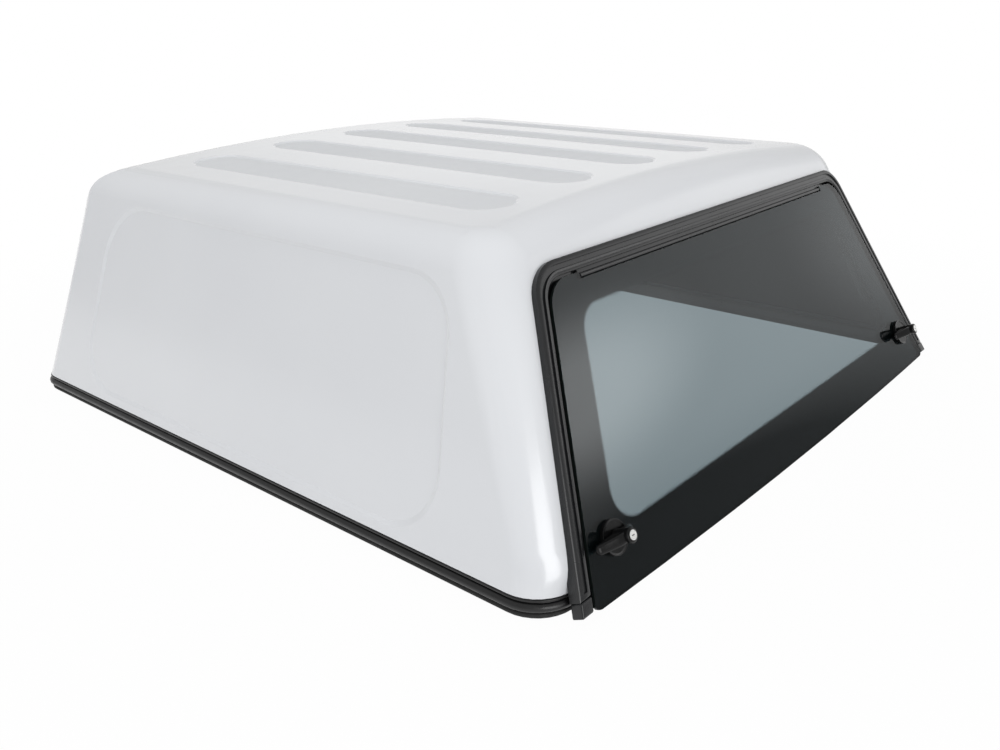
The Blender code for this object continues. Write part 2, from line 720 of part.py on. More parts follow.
def buildFrameSeal(materials, rearPlane):
    """Bulb seal on the frame's inner flange, pressed by the shut glass."""
    depth = GLASS + GAP + FRAME_SEAL_RADIUS
    corners = openingCorners(FRAME_SEAL_INSET, HEAD_SEAL_INSET, FRAME_FOOT + 0.003)
    path = [onFace(point[0], point[1], depth) for point in roundedPath(corners, closed=False)]
    addPiece("frame_seal", tube(path, FRAME_SEAL_RADIUS, sides=10), materials["rubber"], rearPlane)


def buildHingeRail(materials, rearPlane):
    """The fixed half of the hinge: a pin along the head, held by a short web from the rebate."""
    pin = [hookPoint(HINGE_PIN_RADIUS, angle) for angle in angles(95, -243, 18)]
    top = rebateHead() - GAP
    back = REBATE_DEPTH - GAP
    neck = pivotSlope() + HOOK_OUTER_RADIUS + HINGE_WEB_GAP
    front = PIVOT_DEPTH + HINGE_WEB_FRONT
    web = [(front, neck), (back, neck), (back, top), (front - HINGE_WEB_LEAN, top)]
    shape = extrudeOutline(pin + web, -hingeHalf(), hingeHalf(), acrossFace)
    addPiece("hinge_rail", shape, materials["frame"], rearPlane)


def pivotSlope():
    return rebateHead() - PIVOT_DROP


def hingeHalf():
    return rebateHalf(rebateHead()) - HINGE_SET_IN


def hookPoint(radius, angle):
    """A point round the hinge's axis: angle 0 points out of the face and 90 up along it."""
    return (PIVOT_DEPTH - radius * cos(radians(angle)), pivotSlope() + radius * sin(radians(angle)))


def angles(start, end, steps):
    return [start + (end - start) * step / steps for step in range(steps + 1)]


# Glass door

def doorEdge(x):
    """Height of the door's bowed lower edge, along the slope."""
    return -DOOR_DROOP * (1 - (x / doorHalf(0.0)) ** 2)


def doorHalf(slope):
    return rebateHalf(slope) - DOOR_GAP


def doorOutline():
    head = rebateHead() - DOOR_GAP
    notch = hingeHalf() + HINGE_PIN_RADIUS
    notchTop = pivotSlope() - HOOK_OUTER_RADIUS - GAP
    sideRun = [
        (doorHalf(DOOR_FOOT_RADIUS), DOOR_FOOT_RADIUS, 0.0), (doorHalf(head), head, DOOR_TOP_RADIUS),
        (notch, head, 0.0), (notch, notchTop, 0.0)]
    right = roundedPath(sideRun, closed=False)
    left = [Vector((-point[0], point[1])) for point in right[::-1]]
    foot = []
    steps = 24
    half = doorHalf(0.0) - DOOR_FOOT_RADIUS
    for step in range(steps + 1):
        x = -half + 2 * half * step / steps
        foot.append(Vector((x, doorEdge(x))))
    return right + left + cornerRun(-1) + foot + cornerRun(1)


def cornerRun(side):
    """The small rounded lower corner of the glass."""
    points = []
    steps = 4
    for step in range(1, steps):
        angle = pi / 2 * step / steps
        x = doorHalf(0.0) - DOOR_FOOT_RADIUS + DOOR_FOOT_RADIUS * cos(angle)
        slope = DOOR_FOOT_RADIUS - DOOR_FOOT_RADIUS * sin(angle)
        points.append(Vector((side * x, slope)))
    return points if side < 0 else points[::-1]


def buildDoorGlass(materials, rearPlane, pivot):
    glass = addPiece("door_glass", extrudeOutline(doorOutline(), 0.0, GLASS, onFace),
                     materials["glass"], rearPlane, pivot)
    radius = SHAFT_RADIUS + SHAFT_HOLE_GAP
    for side, name in ((-1, "left"), (1, "right")):
        hole = turned([(radius, -ROSE_HEIGHT), (radius, ROSE_HEIGHT)], (side * handleX(), HANDLE_SLOPE))
        useCutter(glass, addCutter("cut_shaft_hole_" + name, hole, rearPlane))


def buildDoorTopRail(materials, rearPlane, pivot):
    """The moving half of the hinge: a hook round the pin and a leaf bonded behind the glass."""
    outer = [hookPoint(HOOK_OUTER_RADIUS, angle) for angle in angles(15, -88, 8)]
    leafTop = GLASS + GAP
    leafFoot = pivotSlope() - LEAF_REACH
    leaf = [(leafTop, leafFoot), (leafTop + LEAF_DEPTH, leafFoot)]
    outerBack = [hookPoint(HOOK_OUTER_RADIUS, angle) for angle in angles(-122, -200, 6)]
    inner = [hookPoint(HOOK_INNER_RADIUS, angle) for angle in angles(-200, 15, 14)]
    outline = outer + leaf + outerBack + inner
    shape = extrudeOutline(outline, -hingeHalf(), hingeHalf(), acrossFace)
    addPiece("door_top_rail", shape, materials["frame"], rearPlane, pivot)


def buildDoorBottomSeal(materials, rearPlane, pivot):
    """Bulb behind the glass's lower edge, which closes on the tailgate."""
    steps = 24
    path = []
    half = doorHalf(0.0) - BOTTOM_SEAL_SET_IN
    for step in range(steps + 1):
        x = -half + 2 * half * step / steps
        path.append(onFace(x, doorEdge(x) + BOTTOM_SEAL_RISE, GLASS + GAP + BOTTOM_SEAL_RADIUS))
    addPiece("door_bottom_seal", tube(path, BOTTOM_SEAL_RADIUS), materials["rubber"], rearPlane, pivot)


# Handles and latches

def roseShape(axisPoint):
    """The rose under the grip: a disc with a rounded outer edge and a bore for the shaft."""
    bore = SHAFT_RADIUS + SHAFT_CLEARANCE
    edge = ROSE_RADIUS - ROSE_EDGE
    outer = -GAP - ROSE_HEIGHT
    profile = [(bore, outer), (bore, -GAP), (ROSE_RADIUS, -GAP)]
    for angle in angles(0, 90, 3):
        swing = radians(angle)
        profile.append((edge + ROSE_EDGE * cos(swing), outer + ROSE_EDGE * (1 - sin(swing))))
    steps = 24
    shape = loftRings(turnedRings(profile, axisPoint, steps), capStart=False, capEnd=False)
    closeLoop(shape, steps, len(profile))
    return shape


def gripShape(side):
    """The T-shaped grip: thick at the hub, falling to thin finger tips at both ends."""
    outline = []
    steps = 12
    for step in range(steps + 1):
        along = -1 + 2 * step / steps
        fall = cos(along * pi / 2) ** GRIP_FALL
        rise = GRIP_TIP_HEIGHT + (GRIP_HEIGHT - GRIP_TIP_HEIGHT) * fall
        outline.append((GRIP_HALF_LENGTH * along, rise))
    hollow = (HUB_RADIUS + GRIP_FILLET, GRIP_UNDER + GRIP_FILLET)
    outline += [
        (GRIP_HALF_LENGTH, GRIP_UNDER), hollow, (HUB_RADIUS, GRIP_UNDER),
        (-HUB_RADIUS, GRIP_UNDER), (-hollow[0], hollow[1]), (-GRIP_HALF_LENGTH, GRIP_UNDER)]

    def place(along, out, across):
        return Vector((side * handleX() + along, -out, HANDLE_SLOPE + across))
    return extrudeOutline(outline, -GRIP_WIDTH / 2, GRIP_WIDTH / 2, place)


def handleX():
    return rebateHalf(HANDLE_SLOPE) - HANDLE_SET_IN


def strikerX():
    """The striker sits in the middle of the jamb's back face."""
    return rebateHalf(HANDLE_SLOPE) + (FRAME_NECK - JAMB_FLANGE) / 2


def camDepth():
    """Depth of the cam's outer face: it swings behind the striker."""
    return FRAME_DEPTH + GAP + STRIKER_HEIGHT + CAM_CLEARANCE


def camShape(side):
    """The lever on the shaft's inner end, stepped towards the striker at its tip."""
    reach = strikerX() - handleX() + STRIKER_WIDTH / 2
    bend = reach - STRIKER_WIDTH - CAM_THICKNESS
    near = camDepth()
    far = near + CAM_THICKNESS
    profile = [
        (-CAM_BOSS, near + CAM_STEP), (bend, near + CAM_STEP), (bend + CAM_STEP, near), (reach, near),
        (reach, far), (bend + CAM_STEP, far), (bend, far + CAM_STEP), (-CAM_BOSS, far + CAM_STEP)]

    def place(along, depth, across):
        return Vector((side * handleX() + across, depth, HANDLE_SLOPE + along))
    return extrudeOutline(profile, -CAM_WIDTH / 2, CAM_WIDTH / 2, place)


def buildHandles(materials, rearPlane, pivot):
    for side, name in ((-1, "left"), (1, "right")):
        axis = (side * handleX(), HANDLE_SLOPE)
        origin = (side * handleX(), 0.0, HANDLE_SLOPE)
        addPiece("handle_rose_" + name, roseShape(axis), materials["handle"], rearPlane, pivot)
        addPiece("handle_grip_" + name, gripShape(side), materials["handle"], rearPlane, origin)
        lock = turned([
            (LOCK_RADIUS, -GRIP_HEIGHT - GAP), (LOCK_RADIUS, LOCK_CHAMFER - LOCK_REACH),
            (LOCK_RADIUS - LOCK_CHAMFER, -LOCK_REACH)], axis)
        addPiece("lock_barrel_" + name, lock, materials["chrome"], rearPlane, origin)
        shaftEnd = camDepth() + CAM_STEP - GAP
        shaft = turned([(SHAFT_RADIUS, GAP - GRIP_UNDER), (SHAFT_RADIUS, shaftEnd)], axis)
        addPiece("latch_shaft_" + name, shaft, materials["steel"], rearPlane, origin)
        addPiece("latch_cam_" + name, camShape(side), materials["steel"], rearPlane, origin)


def buildStrikers(materials, rearPlane):
    """A ramped block on the back of each jamb, which the cam slides over."""
    back = FRAME_DEPTH + GAP
    for side, name in ((-1, "left"), (1, "right")):
        half = STRIKER_LENGTH / 2
        profile = [
            (-half, back), (half, back), (half, back + STRIKER_STEP),
            (half - STRIKER_RAMP, back + STRIKER_HEIGHT), (STRIKER_RAMP - half, back + STRIKER_HEIGHT),
            (-half, back + STRIKER_STEP)]

        def place(along, depth, across):
            return Vector((side * strikerX() + across, depth, HANDLE_SLOPE + along))
        shape = extrudeOutline(profile, -STRIKER_WIDTH / 2, STRIKER_WIDTH / 2, place)
        addPiece("striker_" + name, shape, materials["steel"], rearPlane)


# Gas struts

def strutPoint(setIn, depth, slope):
    return Vector((rebateHalf(slope) - setIn, depth, slope))


def alongStrut(shape, start, end):
    """Lays a shape made along +Z at the origin along the line from start to end."""
    turn = (end - start).normalized().to_track_quat("Z", "Y").to_matrix()
    bmesh.ops.rotate(shape, verts=shape.verts, cent=(0, 0, 0), matrix=turn)
    bmesh.ops.translate(shape, verts=shape.verts, vec=start)
    return shape


def barProfile(profile, steps=16):
    rings = []
    for radius, z in profile:
        rings.append([Vector((radius * cos(2 * pi * k / steps), radius * sin(2 * pi * k / steps), z))
                      for k in range(steps)])
    return loftRings(rings)


def socketProfile(middle, ahead):
    """The round ball socket at a strut's end, from its far side to its neck."""
    points = []
    for angle in angles(-60, 55, 6):
        radius = STRUT_EYE_RADIUS * cos(radians(angle))
        points.append((radius, middle + ahead * STRUT_EYE_RADIUS * sin(radians(angle))))
    points.append((STRUT_ROD_RADIUS, middle + ahead * (STRUT_EYE_RADIUS + STRUT_NECK)))
    return points


def buildStruts(materials, rearPlane, pivot):
    body = strutPoint(*STRUT_BODY_POINT, STRUT_BODY_SLOPE)
    door = strutPoint(*STRUT_DOOR_POINT, pivotSlope() - STRUT_DOOR_DROP)
    length = (door - body).length
    end = length - STRUT_ROD_SHOWN
    cylinderProfile = socketProfile(0.0, 1)
    cylinderProfile += [
        (STRUT_RADIUS, STRUT_SHOULDER), (STRUT_RADIUS, end), (STRUT_BORE, end),
        (STRUT_BORE, STRUT_BORE_FOOT)]
    rodProfile = [(STRUT_ROD_RADIUS, STRUT_ROD_FOOT)] + socketProfile(length, -1)[::-1]
    for side, name in ((-1, "left"), (1, "right")):
        cylinder = alongStrut(barProfile(cylinderProfile), body, door)
        rod = alongStrut(barProfile(rodProfile), body, door)
        frameBracket = frameBracketShape(body)
        doorBracket = doorBracketShape(door)
        origin = Vector((side * body.x, body.y, body.z))
        shapes = [cylinder, rod, frameBracket, doorBracket]
        if side < 0:
            shapes = [mirrorX(shape) for shape in shapes]
        addPiece("strut_cylinder_" + name, shapes[0], materials["strut"], rearPlane, origin)
        addPiece("strut_rod_" + name, shapes[1], materials["steel"], rearPlane, origin)
        addPiece("strut_frame_bracket_" + name, shapes[2], materials["steel"], rearPlane)
        addPiece("strut_door_bracket_" + name, shapes[3], materials["steel"], rearPlane, pivot)


def frameBracketShape(body):
    """An angle on the back of the jamb; its upstand carries the ball stud."""
    foot = body.x + BODY_STUD_REACH
    return bracketShape(body, FRAME_DEPTH + GAP, foot, BODY_PLATE_WIDTH, BODY_PLATE_LENGTH)


def doorBracketShape(door):
    """An angle bonded to the glass; its upstand carries the other ball stud."""
    foot = door.x + DOOR_STUD_REACH
    return bracketShape(door, GLASS + GAP, foot, DOOR_PLATE_WIDTH, DOOR_PLATE_LENGTH)


def bracketShape(ball, seat, foot, width, length):
    """An angle section: a plate on its seat, and an upstand that reaches past the ball."""
    plate = STRUT_PLATE
    top = ball.y + 2 * STUD_RADIUS
    outline = [
        (foot, seat), (foot + width, seat), (foot + width, seat + plate), (foot + plate, seat + plate),
        (foot + plate, top), (foot, top)]
    shape = extrudeOutline(outline, ball.z - length / 2, ball.z + length / 2, alongSlope)
    return extrudeStud(shape, ball.x + STRUT_EYE_RADIUS + STUD_GAP, ball.y, ball.z)


def extrudeStud(shape, tip, depth, slope):
    """Draws a square stud out of the upstand's flat inner face."""
    face = min((f for f in shape.faces if abs(f.normal.x) > 0.99),
               key=lambda f: f.calc_center_median().x)
    bmesh.ops.inset_individual(shape, faces=[face], thickness=STUD_RADIUS)
    for vert in face.verts:
        vert.co.y = depth + (STUD_RADIUS if vert.co.y > depth else -STUD_RADIUS)
        vert.co.z = slope + (STUD_RADIUS if vert.co.z > slope else -STUD_RADIUS)
    moved = bmesh.ops.extrude_discrete_faces(shape, faces=[face])
    for vert in moved["faces"][0].verts:
        vert.co.x = tip
    bmesh.ops.recalc_face_normals(shape, faces=shape.faces)
    return shape


def standOnOrigin(datum):
    """Brings the bottom centre of everything to the origin."""
    bpy.context.view_layer.update()
    pieces = [item for item in bpy.context.scene.objects if item.type == "MESH" and not item.hide_render]
    reach = [(piece.matrix_world @ vert.co).y for piece in pieces for vert in piece.data.vertices]
    datum.location.y -= (min(reach) + max(reach)) / 2
    bpy.context.view_layer.update()


def main():
    clearScene()
    materials = makeMaterials()
    datum = addEmpty("canopy_datum", location=(0.0, 0.0, SEAL_HEIGHT))
    rearPlane = addEmpty("rear_plane", datum, (0.0, 0.0, REAR_FOOT), (-atan(REAR_LEAN), 0.0, 0.0))
    pivot = (0.0, PIVOT_DEPTH, pivotSlope())
    buildShell(materials, datum, rearPlane)
    buildFrontWindow(materials, datum)
    buildBaseTrim(materials, datum)
    buildRearFrame(materials, datum, rearPlane)
    buildFootBrackets(materials, rearPlane)
    buildFrameSeal(materials, rearPlane)
    buildHingeRail(materials, rearPlane)
    buildDoorGlass(materials, rearPlane, pivot)
    buildDoorTopRail(materials, rearPlane, pivot)
    buildDoorBottomSeal(materials, rearPlane, pivot)
    buildHandles(materials, rearPlane, pivot)
    buildStrikers(materials, rearPlane)
    buildStruts(materials, rearPlane, pivot)
    standOnOrigin(datum)


main()
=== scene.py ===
import json
from math import atan2, cos, radians, sin
import bpy
from mathutils import Matrix, Vector


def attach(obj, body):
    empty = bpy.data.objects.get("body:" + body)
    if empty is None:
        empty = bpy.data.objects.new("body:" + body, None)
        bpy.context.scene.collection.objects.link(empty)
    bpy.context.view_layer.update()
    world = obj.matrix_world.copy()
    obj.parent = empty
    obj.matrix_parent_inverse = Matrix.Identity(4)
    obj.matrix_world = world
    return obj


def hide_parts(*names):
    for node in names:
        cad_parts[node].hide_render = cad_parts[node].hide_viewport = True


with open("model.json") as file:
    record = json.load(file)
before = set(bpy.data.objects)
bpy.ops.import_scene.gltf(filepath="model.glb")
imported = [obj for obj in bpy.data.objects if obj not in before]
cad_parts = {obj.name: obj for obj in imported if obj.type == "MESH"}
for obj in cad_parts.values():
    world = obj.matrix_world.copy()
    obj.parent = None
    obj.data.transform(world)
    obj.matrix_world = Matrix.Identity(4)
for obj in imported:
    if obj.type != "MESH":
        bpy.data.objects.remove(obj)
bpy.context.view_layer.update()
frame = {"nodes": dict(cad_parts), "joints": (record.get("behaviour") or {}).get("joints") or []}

nodes = frame["nodes"]
joints = {joint["name"]: joint for joint in frame["joints"]}
sides = (("left", -1), ("right", 1))


# Selecting and finishing

tools = {
    # metres and degrees; "facing" is how squarely a face looks along an axis to count as an end
    "merge": 0.00002, "flat": 0.4, "near": 0.0001, "facing": 0.7, "smooth": 60, "weight": 50,
    "segments": 2, "round": 48}


def deselectAll():
    if bpy.context.mode != "OBJECT":
        bpy.ops.object.mode_set(mode="OBJECT")
    bpy.ops.object.select_all(action="DESELECT")


def activate(piece):
    deselectAll()
    piece.select_set(True)
    bpy.context.view_layer.objects.active = piece


def startEdit(piece, mode="FACE"):
    activate(piece)
    bpy.ops.object.mode_set(mode="EDIT")
    bpy.ops.mesh.select_all(action="DESELECT")
    bpy.ops.mesh.select_mode(type=mode)
    bpy.ops.object.mode_set(mode="OBJECT")


def selectFaces(piece, wanted):
    startEdit(piece, "FACE")
    for face in piece.data.polygons:
        face.select = wanted(face)
    bpy.ops.object.mode_set(mode="EDIT")


def endEdit():
    bpy.ops.object.mode_set(mode="OBJECT")


def placeAtOrigin(piece):
    activate(piece)
    bpy.ops.object.transform_apply(location=True, rotation=True, scale=True)


def smooth(piece, degrees):
    activate(piece)
    bpy.ops.object.shade_smooth_by_angle(angle=radians(degrees))


def applyModifier(piece, kind, settings):
    activate(piece)
    modifier = piece.modifiers.new(kind.lower(), kind)
    for name, value in settings.items():
        setattr(modifier, name, value)
    bpy.ops.object.modifier_apply(modifier=modifier.name)


def cutWith(piece, cutter):
    applyModifier(piece, "BOOLEAN", {"operation": "DIFFERENCE", "solver": "EXACT", "object": cutter})
    bpy.data.objects.remove(cutter, do_unlink=True)


def copyOfNode(nodeName, pieceName):
    # a merged copy of a CAD node, which then stands for it
    piece = bpy.data.objects.new(pieceName, nodes[nodeName].data.copy())
    bpy.context.scene.collection.objects.link(piece)
    activate(piece)
    piece.data.materials.clear()
    bpy.ops.mesh.customdata_custom_splitnormals_clear()
    bpy.ops.object.mode_set(mode="EDIT")
    bpy.ops.mesh.select_all(action="SELECT")
    bpy.ops.mesh.remove_doubles(threshold=tools["merge"])
    bpy.ops.mesh.dissolve_limited(angle_limit=radians(tools["flat"]), delimit=set())
    endEdit()
    return piece


def softenEdges(piece, width, degrees, segments=tools["segments"]):
    applyModifier(piece, "BEVEL", {
        "width": width, "segments": segments, "limit_method": "ANGLE", "angle_limit": radians(degrees),
        "harden_normals": False, "miter_outer": "MITER_ARC"})
    smooth(piece, tools["smooth"])
    applyModifier(piece, "WEIGHTED_NORMAL", {
        "mode": "FACE_AREA", "weight": tools["weight"], "keep_sharp": True})


def standFor(piece, body, slotName, material, *nodeNames):
    piece.data.materials.clear()
    piece.data.materials.append(material)
    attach(piece, body)
    if nodeNames:
        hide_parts(*nodeNames)


# The rear face leans forward; pieces on it are made upright and then laid on it.
# A place on it is (x, depth inwards, slope upwards), all in metres.

rearFace = {
    "inward": Vector(joints["handle_turn_right"]["axis"]).normalized(),
    "handle": Vector(joints["handle_turn_right"]["pos_m"]),
    "handleSlope": 0.082,
}
faceLean = atan2(-rearFace["inward"].z, rearFace["inward"].y)
faceTurn = Matrix.Rotation(-faceLean, 4, "X")
handleHalf = rearFace["handle"].x
faceFoot = rearFace["handle"] - faceTurn @ Vector((handleHalf, 0, rearFace["handleSlope"]))


def onFace(x, depth, slope):
    return faceFoot + faceTurn @ Vector((x, depth, slope))


def faceDepth(point):
    return (point - faceFoot).dot(rearFace["inward"])


def faceSlope(point):
    return (point - faceFoot).dot(faceTurn @ Vector((0, 0, 1)))


def layOnFace(piece, x=0.0, depth=0.0, slope=0.0):
    placeAtOrigin(piece)
    piece.matrix_world = Matrix.Translation(onFace(x, depth, slope)) @ faceTurn
    placeAtOrigin(piece)


# Materials

def linear(hexCode):
    values = [int(hexCode[i:i + 2], 16) / 255 for i in (0, 2, 4)]
    return tuple(v / 12.92 if v <= 0.04045 else ((v + 0.055) / 1.055) ** 2.4 for v in values) + (1.0,)


def addNode(tree, kind, settings=None, links=None):
    node = tree.nodes.new(kind)
    for name, value in (settings or {}).items():
        if isinstance(name, int) or name in node.inputs:
            node.inputs[name].default_value = value
        else:
            setattr(node, name, value)
    for name, socket in (links or {}).items():
        tree.links.new(socket, node.inputs[name])
    return node


def newMaterial(name, settings):
    material = bpy.data.materials.new(name)
    material.use_nodes = True
    shader = material.node_tree.nodes["Principled BSDF"]
    for socket, value in settings.items():
        shader.inputs[socket].default_value = value
    return material, material.node_tree, shader


def objectNoise(tree, millimetres, detail=3.0, roughness=0.5):
    # noise whose grains are about the given size on the object
    place = addNode(tree, "ShaderNodeTexCoord")
    return addNode(tree, "ShaderNodeTexNoise", {
        "Scale": 1000.0 / millimetres, "Detail": detail, "Roughness": roughness},
        {"Vector": place.outputs["Object"]})


def varyColour(tree, shader, noise, dark, light):
    mix = addNode(tree, "ShaderNodeMix", {"data_type": "RGBA", 6: linear(dark), 7: linear(light)},
                  {0: noise.outputs["Fac"]})
    tree.links.new(mix.outputs[2], shader.inputs["Base Color"])


noiseReach = (0.3, 0.7)  # nearly all of a noise texture's values lie between these


def varyRoughness(tree, shader, noise, low, high):
    spread = addNode(tree, "ShaderNodeMapRange", {
        "From Min": noiseReach[0], "From Max": noiseReach[1], "To Min": low, "To Max": high},
        {"Value": noise.outputs["Fac"]})
    tree.links.new(spread.outputs["Result"], shader.inputs["Roughness"])


def addBump(tree, shader, noise, millimetres, strength):
    bump = addNode(tree, "ShaderNodeBump", {"Strength": strength, "Distance": millimetres / 1000},
                   {"Height": noise.outputs["Fac"]})
    tree.links.new(bump.outputs["Normal"], shader.inputs["Normal"])


def makeFinish(name, finish):
    # "shader" goes straight to the sockets; "cloud", "wear" and "grain" are noises, given by their size in
    # millimetres, detail and roughness, for the colour from dark to light, the gloss and the relief
    material, tree, shader = newMaterial(name, finish["shader"])
    if "cloud" in finish:
        varyColour(tree, shader, objectNoise(tree, *finish["cloud"]), finish["dark"], finish["light"])
    if "wear" in finish:
        varyRoughness(tree, shader, objectNoise(tree, *finish["wear"]), *finish["rough"])
    if "grain" in finish:
        addBump(tree, shader, objectNoise(tree, *finish["grain"]), finish["height"], finish["strength"])
    return material


# polyester gelcoat sprayed in a polished mould: clean white, glossy, with a very faint ripple
whiteGelcoat = {
    "shader": {"IOR": 1.5, "Coat Weight": 0.9, "Coat Roughness": 0.13},
    "cloud": (420.0, 2.0), "dark": "D3D5D9", "light": "DBDDE0",
    "wear": (90.0,), "rough": (0.20, 0.27), "grain": (5.0,), "height": 0.02, "strength": 0.25}

# the same gelcoat where the mould was left textured: dull, and a little darker in colour as painted shade in
# the recessed flutes, so the flutes read darker than the ribs
satinGelcoatPaintedShade = {
    "shader": {"IOR": 1.5, "Specular IOR Level": 0.35},
    "cloud": (420.0, 2.0), "dark": "CED0D3", "light": "D6D8DA",
    "wear": (40.0,), "rough": (0.50, 0.60), "grain": (2.5,), "height": 0.04, "strength": 0.3}

# flocked inside of the moulding: matt dark grey, its short felted nap drawn coarser so that it shows
greyFlockLining = {
    "shader": {"Roughness": 0.95, "Sheen Weight": 0.25, "Specular IOR Level": 0.2},
    "cloud": (4.0, 5.0, 0.7), "dark": "3A3B3D", "light": "4A4B4D",
    "grain": (4.0, 5.0, 0.7), "height": 0.5, "strength": 0.5}

# satin polyester powder on extruded aluminium: deep black with a soft sheen and a fine orange peel
blackPowderCoat = {
    "shader": {"IOR": 1.5}, "cloud": (60.0,), "dark": "0F1012", "light": "151618",
    "wear": (35.0,), "rough": (0.22, 0.29), "grain": (1.6,), "height": 0.05, "strength": 0.2}

# EPDM drawn through a die: black, its smooth skin a little shiny, with a faint cloudy bloom
extrudedRubber = {
    "shader": {"IOR": 1.5}, "cloud": (25.0,), "dark": "0C0C0D", "light": "131314",
    "wear": (25.0,), "rough": (0.26, 0.38), "grain": (1.2,), "height": 0.04, "strength": 0.15}

# foamed EPDM of the bulb seals: matt black with an open, slightly pitted skin
spongeRubber = {
    "shader": {"IOR": 1.5}, "cloud": (0.9, 4.0), "dark": "0D0D0D", "light": "161616",
    "wear": (20.0,), "rough": (0.62, 0.78), "grain": (0.9, 4.0), "height": 0.08, "strength": 0.3}

# painted shade on the rebate's walls round the glass: near-black and nearly unreflective, so the gap reads
# as a black line
paintedRebateShade = {
    "shader": {"Roughness": 0.95, "Specular IOR Level": 0.05},
    "cloud": (1.5,), "dark": "060606", "light": "0C0C0C"}

# black enamel fired on the back of the glass: opaque, even and faintly grey
ceramicPrint = {
    "shader": {"IOR": 1.5, "Specular IOR Level": 0.15},
    "cloud": (1.5,), "dark": "101112", "light": "161718", "wear": (20.0,), "rough": (0.45, 0.55)}

# edge of the toughened pane, ground matt: too deep in colour to see through
groundGlassEdge = {
    "shader": {"IOR": 1.52, "Specular IOR Level": 0.3},
    "cloud": (2.0,), "dark": "0B1110", "light": "121918", "wear": (6.0,), "rough": (0.45, 0.6)}

# glass-filled nylon from a spark-eroded mould: near-black, low sheen, fine even grain
mouldedNylon = {
    "shader": {"IOR": 1.53, "Specular IOR Level": 0.22},
    "cloud": (15.0,), "dark": "090909", "light": "0F0F10",
    "wear": (8.0,), "rough": (0.16, 0.24), "grain": (0.8, 2.0), "height": 0.05, "strength": 0.25}

# bright chrome plate on a zinc die casting: reflective, slightly dulled by faint wiping marks
polishedChrome = {
    "shader": {"Base Color": linear("E6E6E4"), "Metallic": 1.0}, "wear": (3.0,), "rough": (0.24, 0.36)}

# zinc-plated pressed steel: cool grey metal with cloudy passivation
brightZinc = {
    "shader": {"Metallic": 1.0}, "cloud": (9.0,), "dark": "A6A8A6", "light": "C2C3BD",
    "wear": (9.0,), "rough": (0.26, 0.40), "grain": (1.0,), "height": 0.03, "strength": 0.15}

# salt-bath nitrided and oxidised steel of struts and latches: black, smooth, with a dull gleam
nitridedSteel = {
    "shader": {"Metallic": 0.3, "Specular IOR Level": 0.25},
    "cloud": (12.0,), "dark": "1C1D1F", "light": "26272A", "wear": (12.0,), "rough": (0.46, 0.56)}

# stove enamel on the strut's tube: satin black with faint drawing lines
bakedEnamel = {
    "shader": {"IOR": 1.5, "Specular IOR Level": 0.25},
    "cloud": (30.0,), "dark": "0B0B0C", "light": "111112", "wear": (12.0,), "rough": (0.45, 0.55)}

# toughened privacy glass, body-tinted blue-green: what is behind it shows darker and cooler,
# while its very smooth faces mirror the room, with a trace of roller wave
smokedGlass = {
    "shader": {"Base Color": linear("0C1112"), "Roughness": 0.02, "IOR": 1.52, "Specular IOR Level": 0.8},
    "grain": (140.0, 1.0), "height": 0.06, "strength": 0.12, "tint": "DCE7EB", "body": 0.42}

# the ceramic print at the rim of the clear window, screened in dots that shrink as "fade" falls,
# drawn coarser than the real 1 mm so that they show
screenedDots = {"pitch": 2.2, "reach": 0.75, "turn": 45, "attribute": "fade"}


def mixWithClear(material, clear, share):
    # share is a number or a socket: how much of the surface is the finish, where 0 is clear
    tree = material.node_tree
    mix = addNode(tree, "ShaderNodeMixShader", {}, {
        1: clear.outputs[0], 2: tree.nodes["Principled BSDF"].outputs[0]})
    if isinstance(share, float):
        mix.inputs[0].default_value = share
    else:
        tree.links.new(share, mix.inputs[0])
    tree.links.new(mix.outputs[0], tree.nodes["Material Output"].inputs["Surface"])


def makeSmokedGlass():
    material = makeFinish("smokedGlass", smokedGlass)
    behind = addNode(material.node_tree, "ShaderNodeBsdfTransparent", {"Color": linear(smokedGlass["tint"])})
    mixWithClear(material, behind, smokedGlass["body"])
    return material


def makeCeramicDots():
    material = makeFinish("ceramicDots", ceramicPrint)
    tree = material.node_tree
    place = addNode(tree, "ShaderNodeTexCoord")
    flat = addNode(tree, "ShaderNodeMapping", {
        "Rotation": (faceLean - radians(90), 0, radians(screenedDots["turn"]))},
        {"Vector": place.outputs["Object"]})
    grid = addNode(tree, "ShaderNodeTexVoronoi", {
        "voronoi_dimensions": "2D", "Scale": 1000.0 / screenedDots["pitch"], "Randomness": 0.0},
        {"Vector": flat.outputs[0]})
    fade = addNode(tree, "ShaderNodeAttribute", {"attribute_name": screenedDots["attribute"]})
    radius = addNode(tree, "ShaderNodeMath", {"operation": "MULTIPLY", 1: screenedDots["reach"]},
                     {0: fade.outputs["Fac"]})
    dot = addNode(tree, "ShaderNodeMath", {"operation": "LESS_THAN"},
                  {0: grid.outputs["Distance"], 1: radius.outputs[0]})
    mixWithClear(material, addNode(tree, "ShaderNodeBsdfTransparent"), dot.outputs[0])
    return material


gelcoatWhite = makeFinish("whiteGelcoat", whiteGelcoat)
gelcoatSatinPaintedShade = makeFinish("satinGelcoatPaintedShade", satinGelcoatPaintedShade)
liningGrey = makeFinish("greyFlockLining", greyFlockLining)
frameBlack = makeFinish("blackPowderCoat", blackPowderCoat)
rubberBlack = makeFinish("extrudedRubber", extrudedRubber)
spongeBlack = makeFinish("spongeRubber", spongeRubber)
rebateShadeBlack = makeFinish("paintedRebateShade", paintedRebateShade)
glassSmoked = makeSmokedGlass()
printBlack = makeFinish("ceramicPrint", ceramicPrint)
dotsBlack = makeCeramicDots()
edgeDark = makeFinish("groundGlassEdge", groundGlassEdge)
nylonBlack = makeFinish("mouldedNylon", mouldedNylon)
chromeBright = makeFinish("polishedChrome", polishedChrome)
zincBright = makeFinish("brightZinc", brightZinc)
enamelBlack = makeFinish("bakedEnamel", bakedEnamel)
steelBlack = makeFinish("nitridedSteel", nitridedSteel)
